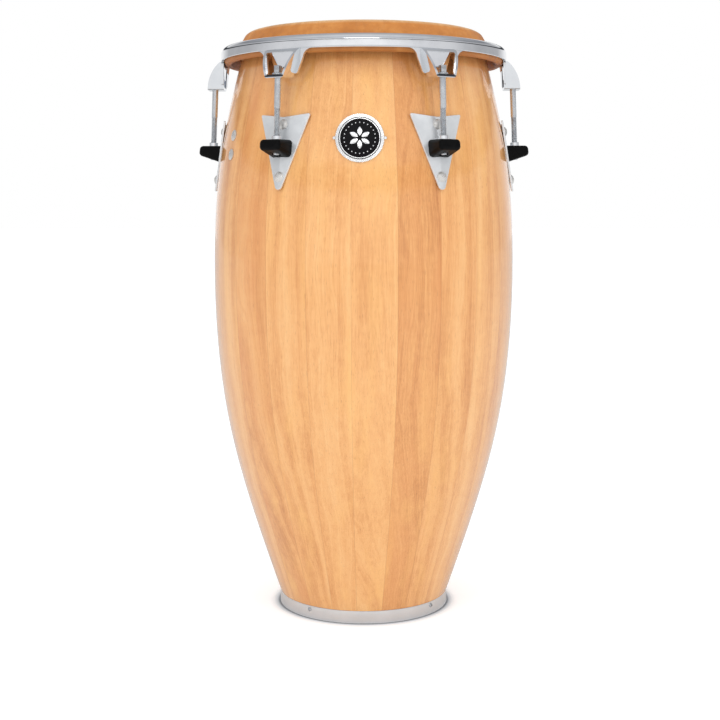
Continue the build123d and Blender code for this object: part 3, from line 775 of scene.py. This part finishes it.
def make_thread_tree():
    """Geometry nodes for a threaded rod along +Z: ridged part, plain shank and an end cap."""
    group, tree, given, out = new_group(
        "threaded_rod",
        [("Low", NUMBER, ROD_LOW), ("Thread Top", NUMBER, THREAD_TOP), ("Neck", NUMBER, ROD_NECK),
         ("Thread Radius", NUMBER, THREAD_RADIUS), ("Shank Radius", NUMBER, SHANK_RADIUS),
         ("Depth", NUMBER, THREAD_DEPTH), ("Pitch", NUMBER, THREAD_PITCH), ("Sides", COUNT, 28),
         ("Rows per Turn", COUNT, 8), ("Thread Finish", FINISH, None), ("Shank Finish", FINISH, None)],
        [("Geometry", GEOMETRY)], "GeometryNodeTree")

    # A flat grid is rolled up: its width goes round the rod, its length along it.
    length = tree.minus(given["Thread Top"], given["Low"])
    turns = tree.math("DIVIDE", length, given["Pitch"])
    rows = tree.math("CEIL", tree.times(turns, given["Rows per Turn"]))
    grid = tree.add("GeometryNodeMeshGrid", 1.0, 1.0, tree.plus(given["Sides"], 1.0), rows)
    place = tree.split(tree.add("GeometryNodeInputPosition"))
    share = tree.plus(place[0], 0.5)
    height = tree.line(tree.plus(place[1], 0.5), length, given["Low"])
    phase = tree.math("FRACT", tree.minus(tree.math("DIVIDE", height, given["Pitch"]), share))
    groove = tree.remap(tree.math("ABSOLUTE", tree.line(phase, 2.0, -1.0)), *THREAD_FLAT)
    fade_from = tree.minus(given["Thread Top"], tree.times(given["Pitch"], RUNOUT_TURNS))
    runout = tree.remap(height, fade_from, given["Thread Top"], 1.0, 0.0)
    crest = tree.remap(height, fade_from, given["Thread Top"], given["Thread Radius"], given["Shank Radius"])
    taper = tree.remap(height, given["Low"], tree.plus(given["Low"], given["Pitch"]), 1.0, 0.0)
    cut = tree.times(given["Depth"], tree.math("MAXIMUM", tree.times(groove, runout), taper))
    radius = tree.minus(crest, cut)
    angle = tree.times(share, 2 * math.pi)
    rolled = tree.add("GeometryNodeSetPosition", grid)
    tree.put(rolled.inputs["Position"], tree.vector(
        tree.times(radius, tree.math("COSINE", angle)), tree.times(radius, tree.math("SINE", angle)), height))
    closed = tree.add("GeometryNodeMergeByDistance", rolled)
    closed.inputs["Distance"].default_value = THREAD_WELD
    thread = tree.add("GeometryNodeSetMaterial", closed, None, given["Thread Finish"])

    circle = tree.add("GeometryNodeCurvePrimitiveCircle", mode="RADIUS")
    tree.put(circle.inputs["Resolution"], given["Sides"])
    tree.put(circle.inputs["Radius"], given["Shank Radius"])
    axis = tree.add("GeometryNodeCurvePrimitiveLine")
    tree.put(axis.inputs["Start"], tree.vector(0.0, 0.0, given["Thread Top"]))
    tree.put(axis.inputs["End"], tree.vector(0.0, 0.0, given["Neck"]))
    tube = tree.add("GeometryNodeCurveToMesh", axis, circle)
    cap = tree.add("GeometryNodeMeshCircle", fill_type="NGON")
    tree.put(cap.inputs["Vertices"], given["Sides"])
    tree.put(cap.inputs["Radius"], tree.minus(given["Thread Radius"], given["Depth"]))
    lowered = tree.add("GeometryNodeTransform", cap)
    tree.put(lowered.inputs["Translation"], tree.vector(0.0, 0.0, given["Low"]))
    shank = tree.add("GeometryNodeSetMaterial", tree.join(tube, lowered), None, given["Shank Finish"])
    tree.put(out["Geometry"], tree.add("GeometryNodeRealizeInstances", tree.join(thread, shank)))
    return group


def tree_mesh(group, name, **values):
    """Runs a geometry tree and returns the plain mesh it makes."""
    holder = bpy.data.objects.new(name, bpy.data.meshes.new(name))
    bpy.context.scene.collection.objects.link(holder)
    modifier = holder.modifiers.new("tree", "NODES")
    modifier.node_group = group
    sockets = {item.name: item.identifier for item in group.interface.items_tree if item.in_out == "INPUT"}
    for title, value in values.items():
        modifier[sockets[title.replace("_", " ")]] = value
    return evaluated_mesh(holder)


def square_head(base, side, height, easing):
    """Square rod head with eased corners, standing on the neck."""
    work = bmesh.new()
    bmesh.ops.create_cube(work, size=1.0)
    bmesh.ops.scale(work, vec=(side, side, height), verts=work.verts)
    bmesh.ops.translate(work, vec=(0, 0, base + height / 2), verts=work.verts)
    bmesh.ops.bevel(work, geom=work.edges[:], offset=easing, segments=ROUNDING_STEPS, affect="EDGES",
                    profile=0.5)
    return work


def rod_place(number):
    """Matrix that puts a piece built along +Z on a tension rod's own axis."""
    spin = JOINTS[f"rod_{number}_spin"]
    up = Vector(spin["axis"]).normalized()
    return Matrix.Translation(spin["pos_m"]) @ up.to_track_quat("Z", "Y").to_matrix().to_4x4()


def make_rods(chrome, zinc):
    """Six rods, each with a zinc thread and a chromed shank and square head."""
    group = make_thread_tree()
    for number in LUG_NUMBERS:
        mesh = tree_mesh(group, f"rod_{number}_thread", Thread_Finish=zinc, Shank_Finish=chrome)
        finishes = list(mesh.materials)
        work = square_head(ROD_NECK, ROD_HEAD_SIDE, ROD_HEAD_HEIGHT, ROD_HEAD_EASING)
        for face in work.faces:
            face.material_index = finishes.index(chrome)
        work.from_mesh(mesh)
        # Thread, shank and end cap become one closed skin, so that its faces can be turned outwards.
        bmesh.ops.remove_doubles(work, verts=work.verts, dist=ROD_WELD)
        bmesh.ops.holes_fill(work, edges=[edge for edge in work.edges if edge.is_boundary], sides=0)
        for face in work.faces:
            face.material_index = 1 if finishes[face.material_index] is chrome else 0
        work.transform(rod_place(number))
        work.to_mesh(mesh)
        work.free()
        new_piece(f"threaded_rod_{number}", finished(mesh, ROD_SHARP), f"tension_rod_{number}", "chrome",
                  f"tension_rod_{number}", materials=[zinc, chrome])


# ---------------------------------------------------------------- badge

PETALS = 6
PETAL_SPAN = (0.0022, 0.0138)
PETAL_WIDTH = 0.0030
PETAL_STEPS = 10
STUDS = 24
STUD_RING = 0.0188
STUD_RADIUS = 0.0008
STUD_SIDES = 12
# Heights of a petal's or stud's foot, shoulder and peak above the inlay, and how far in the shoulder is.
RELIEF = (-0.0002, 0.00045, 0.00075)
SHOULDER_SHARE = 0.93
CLEAR_OF_BADGE = 0.02
EMBLEM_SHARP = 25.0


def make_emblem(bright):
    """Generic ornament on the badge: six pointed petals inside a ring of small studs."""
    box_low, box_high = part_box("badge_inlay")
    centre = (box_low + box_high) / 2
    inlay = NODES["badge_inlay"].data
    surface = BVHTree.FromPolygons([v.co for v in inlay.vertices], [p.vertices for p in inlay.polygons])
    lean = math.atan2(box_high.y - box_low.y, box_high.z - box_low.z)
    work = bmesh.new()

    def petal():
        """Outline of a petal along +X, out on one side and back on the other."""
        inner, outer = PETAL_SPAN
        rim = []
        for side in (1, -1):
            for step in range(PETAL_STEPS):
                share = step / PETAL_STEPS if side > 0 else 1 - step / PETAL_STEPS
                width = PETAL_WIDTH * math.sin(math.pi * share) ** 0.8
                rim.append((inner + (outer - inner) * share, side * width))
        return rim

    def stud():
        """Outline of a stud on +X."""
        angles = [2 * math.pi * step / STUD_SIDES for step in range(STUD_SIDES)]
        return [(STUD_RING + STUD_RADIUS * math.cos(a), STUD_RADIUS * math.sin(a)) for a in angles]

    def raised_fan(rim, angle):
        """Low domed facet over an outline, set on the inlay."""
        turn = Matrix.Rotation(angle, 2)
        flat = [turn @ Vector(point) for point in rim]
        middle = sum(flat, Vector((0, 0))) / len(flat)
        low, shoulder, high = RELIEF
        foot = [work.verts.new((p.x, p.y, low)) for p in flat]
        brow = [work.verts.new((*middle.lerp(p, SHOULDER_SHARE), shoulder)) for p in flat]
        peak = work.verts.new((*middle, high))
        for here in range(len(rim)):
            after = (here + 1) % len(rim)
            work.faces.new((foot[here], foot[after], brow[after], brow[here]))
            work.faces.new((brow[here], brow[after], peak))
        work.faces.new(list(reversed(foot)))

    for number in range(PETALS):
        raised_fan(petal(), math.radians(90 + 360 / PETALS * number))
    for number in range(STUDS):
        raised_fan(stud(), math.radians(360 / STUDS * number))

    out = Vector((0, -math.cos(lean), math.sin(lean)))
    up = Vector((0, math.sin(lean), math.cos(lean)))
    for vertex in work.verts:
        x, y, lift = vertex.co
        start = centre + Vector((x, 0, 0)) + up * y + out * CLEAR_OF_BADGE
        hit = surface.ray_cast(start, -out)[0]
        vertex.co = (hit or start - out * CLEAR_OF_BADGE) + out * lift
    mesh = bpy.data.meshes.new("emblem_mesh")
    work.to_mesh(mesh)
    work.free()
    new_piece("badge_emblem", finished(mesh, EMBLEM_SHARP), "shell", "badge_metal", materials=[bright])


# ---------------------------------------------------------------- lights and floor

# What polished parts mirror, from straight below at 0 to straight above at 1.
DOME_STOPS = [
    (0.0, (0.88, 0.88, 0.88)), (0.50, (0.98, 0.98, 0.99)), (0.590, (0.98, 0.98, 0.99)),
    (0.604, (0.03, 0.03, 0.04)), (0.636, (0.06, 0.07, 0.08)), (0.652, (0.90, 0.91, 0.92)),
    (0.710, (0.97, 0.97, 0.98)), (0.770, (0.52, 0.54, 0.58)), (0.86, (0.84, 0.86, 0.89)),
    (1.0, (1.05, 1.05, 1.05))]
# The same from the wall in front of the drum at 0 to the wall behind it at 1.
WALL_STOPS = [
    (0.0, (1.0, 1.0, 1.0)), (0.03, (1.0, 1.0, 1.0)), (0.15, (0.76, 0.76, 0.77)), (0.35, (0.70, 0.70, 0.71)),
    (0.60, (0.46, 0.46, 0.47)), (0.85, (0.46, 0.46, 0.47)), (0.96, (0.95, 0.95, 0.95))]
WHITE = (1, 1, 1, 1)
BLACK = (0, 0, 0, 1)
FLOOR_RADIUS = 30.0
FLOOR_SIDES = 96
FLOOR_PALE = ((0.87, 0.88, 0.89, 1), (0.89, 0.90, 0.91, 1))
FLOOR_MIRRORED = (0.68, 0.69, 0.70, 1)
FLOOR_GLOW = (0.94, 0.97, 1.0, 1)
# The glow fades out towards the drum's foot, which leaves a painted contact shadow there.
GLOW_AND_SHADOW_REACH = (0.1165, 0.130)
# Painted contact shadow: the floor is darker in the narrow joint under the band.
CONTACT_SHADOW_REACH = (0.110, 0.130)
CONTACT_SHADOW_STOPS = [(0.0, (0.30, 0.31, 0.33)), (0.30, (0.30, 0.31, 0.33)), (0.42, (0.72, 0.74, 0.77)),
               (0.70, (1.0, 1.0, 1.0))]
# Each lamp: name, place, width and height, watts, and whether polished parts mirror it.
LAMPS = [("key", (-1.7, -2.3, 2.5), (1.8, 1.8), 18.5, False),
         ("fill", (2.2, -1.9, 2.0), (1.8, 1.8), 16.0, False),
         ("strip", (0.0, -2.6, 1.74), (1.25, 0.22), 2.5, True)]
LAMP_AIM = Vector((0, 0, 0.45))


def make_world(scene):
    """White room whose walls are brightest in front and behind, with a dark strip above eye level."""
    world = bpy.data.worlds.new("studio")
    scene.world = world
    world.use_nodes = True
    tree = Tree(world.node_tree)
    background = world.node_tree.nodes["Background"]
    way = tree.split(tree.add("ShaderNodeTexCoord").outputs["Generated"])
    dome = tree.ramp(tree.remap(way[2], -1.0, 1.0), DOME_STOPS)
    walls = tree.ramp(tree.remap(way[1], -1.0, 1.0), WALL_STOPS)
    mirrored = tree.add("ShaderNodeLightPath").outputs["Is Glossy Ray"]
    tree.put(background.inputs["Color"], tree.mix(mirrored, WHITE, tree.mix(1.0, dome, walls, "MULTIPLY")))


def make_floor(scene):
    """Pale floor that glows a little outside the drum's foot, with a painted contact shadow at the foot,
    where the glow fades out, and under the band.
    """
    material, tree, shader, point = new_material("studio_floor")
    parts = tree.split(point)
    reach = tree.length(parts[0], parts[1])
    mirrored = tree.add("ShaderNodeLightPath").outputs["Is Glossy Ray"]
    pale = tree.mix(tree.noise(point, 3.0), *FLOOR_PALE)
    # Painted contact shadow on the floor round the band.
    joint = tree.ramp(tree.remap(reach, *CONTACT_SHADOW_REACH), CONTACT_SHADOW_STOPS)
    pale_with_contact_shadow = tree.mix(1.0, pale, joint, "MULTIPLY")
    glow = tree.times(tree.remap(reach, *GLOW_AND_SHADOW_REACH), tree.minus(1.0, mirrored))
    fill_shader(tree, shader, Base_Color=tree.mix(mirrored, pale_with_contact_shadow, FLOOR_MIRRORED),
                Emission_Color=tree.mix(glow, BLACK, FLOOR_GLOW), Roughness=0.85, Specular_IOR_Level=0.1,
                Emission_Strength=0.30)
    mesh = bpy.data.meshes.new("studio_floor")
    work = bmesh.new()
    bmesh.ops.create_circle(work, cap_ends=True, segments=FLOOR_SIDES, radius=FLOOR_RADIUS)
    work.to_mesh(mesh)
    work.free()
    mesh.materials.append(material)
    floor = bpy.data.objects.new("studio_floor", mesh)
    scene.collection.objects.link(floor)


def make_lamps(scene):
    """Two broad soft lamps in front of the drum, and a strip that the rim mirrors."""
    for name, place, size, power, mirrored in LAMPS:
        data = bpy.data.lights.new(name, "AREA")
        data.shape = "RECTANGLE"
        data.size, data.size_y = size
        data.energy = power
        lamp = bpy.data.objects.new(name, data)
        lamp.location = place
        lamp.rotation_euler = (Vector(place) - LAMP_AIM).to_track_quat("Z", "Y").to_euler()
        lamp.visible_glossy = mirrored
        scene.collection.objects.link(lamp)


def make_surroundings():
    """Plain studio round the drum."""
    scene = bpy.context.scene
    scene.view_settings.view_transform = "Standard"
    make_world(scene)
    make_floor(scene)
    make_lamps(scene)


# ---------------------------------------------------------------- assembly

# Rounded copies of CAD nodes: node, name, body and width of the rounding.
HOOP_EARS = ("hoop_ears", "welded_ears", "counterhoop", 0.0006)
LUG_BUSHES = ("lug_bushes", "plated_bushes", "shell", 0.0004)
BOLTS = ("carriage_bolts", "domed_bolts", "shell", 0.0003)
BADGE_PINS = ("badge_pins", "round_pins", "shell", 0.0002)
PLATE_ROUNDING = 0.0005
BOOT_ROUNDING = 0.0006
WASHER_ROUNDING = 0.0003
BADGE_ROUNDING = 0.00025


def make_metalwork(chrome, satin, zinc, nickel, bright, rubber):
    """Rounded copies of the CAD hardware, and finishes for the nodes that stay."""
    for (node, name, body, width), slot, material in (
            (HOOP_EARS, "chrome", chrome), (LUG_BUSHES, "chrome", chrome), (BOLTS, "chrome", nickel),
            (BADGE_PINS, "badge_metal", bright)):
        new_piece(name, softened(node, width), body, slot, node, materials=[material])
    for number in LUG_NUMBERS:
        new_piece(f"tapered_plate_{number}", softened(f"side_plate_{number}", PLATE_ROUNDING), "shell",
                  "chrome", f"side_plate_{number}", materials=[satin])
        new_piece(f"rubber_boot_{number}", softened(f"lug_boot_{number}", BOOT_ROUNDING), "shell",
                  "black_rubber", f"lug_boot_{number}", materials=[rubber])
        new_piece(f"plain_washer_{number}", softened(f"rod_washer_{number}", WASHER_ROUNDING),
                  f"rod_washer_{number}", "zinc_steel", f"rod_washer_{number}", materials=[zinc])
    for node in ("flesh_hoop", "bolt_washers", "bolt_nuts"):
        dress_node(node, zinc)


SCREW_AZIMUTH = math.radians(-37)
SCREW_PLACE = (0.1146, 0.0115)
SCREW_RADIUS = 0.0030
SCREW_HEIGHT = 0.0015
SLOT_WIDTH = 0.0009
SLOT_DEPTH = 0.0012
SLOT_REACH = 1.15
SCREW_SHARP = 35.0


def make_screw_tree():
    """Geometry nodes for screws with crossed slots, set round a band and facing outwards."""
    group, tree, given, out = new_group(
        "band_screws",
        [("Count", COUNT, 4), ("Ring Radius", NUMBER, SCREW_PLACE[0]), ("Height", NUMBER, SCREW_PLACE[1]),
         ("First Azimuth", NUMBER, SCREW_AZIMUTH), ("Head Radius", NUMBER, SCREW_RADIUS),
         ("Head Height", NUMBER, SCREW_HEIGHT), ("Slot Width", NUMBER, SLOT_WIDTH),
         ("Slot Depth", NUMBER, SLOT_DEPTH), ("Finish", FINISH, None)],
        [("Geometry", GEOMETRY)], "GeometryNodeTree")

    head = tree.add("GeometryNodeTransform", tree.add("GeometryNodeMeshUVSphere", 32, 16, 1.0))
    radius, height = given["Head Radius"], given["Head Height"]
    tree.put(head.inputs["Scale"], tree.vector(radius, radius, height))
    length, width = tree.times(radius, SLOT_REACH), given["Slot Width"]
    depth = tree.times(given["Slot Depth"], 2.0)
    for across, along in ((length, width), (width, length)):
        bar = tree.add("GeometryNodeMeshCube", tree.vector(across, along, depth))
        raised = tree.add("GeometryNodeTransform", bar)
        tree.put(raised.inputs["Translation"], tree.vector(0.0, 0.0, height))
        carve = tree.add("GeometryNodeMeshBoolean", operation="DIFFERENCE", solver="EXACT")
        tree.put(carve.inputs["Mesh 1"], head)
        tree.put(carve.inputs["Mesh 2"], raised)
        head = carve
    ring = tree.add("GeometryNodeMeshCircle")
    tree.put(ring.inputs["Vertices"], given["Count"])
    tree.put(ring.inputs["Radius"], given["Ring Radius"])
    placed = tree.add("GeometryNodeTransform", ring)
    tree.put(placed.inputs["Translation"], tree.vector(0.0, 0.0, given["Height"]))
    turn = tree.plus(given["First Azimuth"], -math.pi / 2)
    tree.put(placed.inputs["Rotation"], tree.vector(0.0, 0.0, turn))
    where = tree.split(tree.add("GeometryNodeInputPosition"))
    facing = tree.add("FunctionNodeAlignRotationToVector", axis="Z")
    tree.put(facing.inputs["Vector"], tree.vector(where[0], where[1], 0.0))
    heads = tree.add("GeometryNodeInstanceOnPoints", placed)
    tree.put(heads.inputs["Instance"], head)
    tree.put(heads.inputs["Rotation"], facing)
    real = tree.add("GeometryNodeRealizeInstances", heads)
    tree.put(out["Geometry"], tree.add("GeometryNodeSetMaterial", real, None, given["Finish"]))
    return group


def make_screws(zinc):
    """Four cross-head screws that hold the band."""
    mesh = tree_mesh(make_screw_tree(), "band_screw_heads", Finish=zinc)
    new_piece("cross_head_screws", finished(mesh, SCREW_SHARP), "shell", "zinc_steel", "base_band_screws",
              materials=[zinc])


def make_badge(plating, bright, enamel):
    """Ringed plate, black disc and the ornament on it."""
    grooved = make_bright_plate(plating, "badge_ring_plating", True)
    new_piece("badge_rings", softened("badge_plate", BADGE_ROUNDING), "shell", "badge_metal", "badge_plate",
              materials=[grooved])
    dress_node("badge_inlay", enamel)
    make_emblem(bright)


def build():
    """Makes the finishes, then every visible piece from the shell outwards."""
    plating = make_plating_group()
    chrome = make_chrome(plating)
    satin, zinc, nickel = (make_satin(plating, name) for name in SATIN_FINISHES)
    bright = make_bright_plate(plating, "bright_plating", False)
    dress_staves()
    make_head(make_hide())
    make_counterhoop(chrome)
    make_base_band(make_band_steel(plating))
    make_screws(zinc)
    make_rods(chrome, zinc)
    make_metalwork(chrome, satin, zinc, nickel, bright, make_rubber())
    make_badge(plating, bright, make_enamel())


make_camera()
make_surroundings()
build()
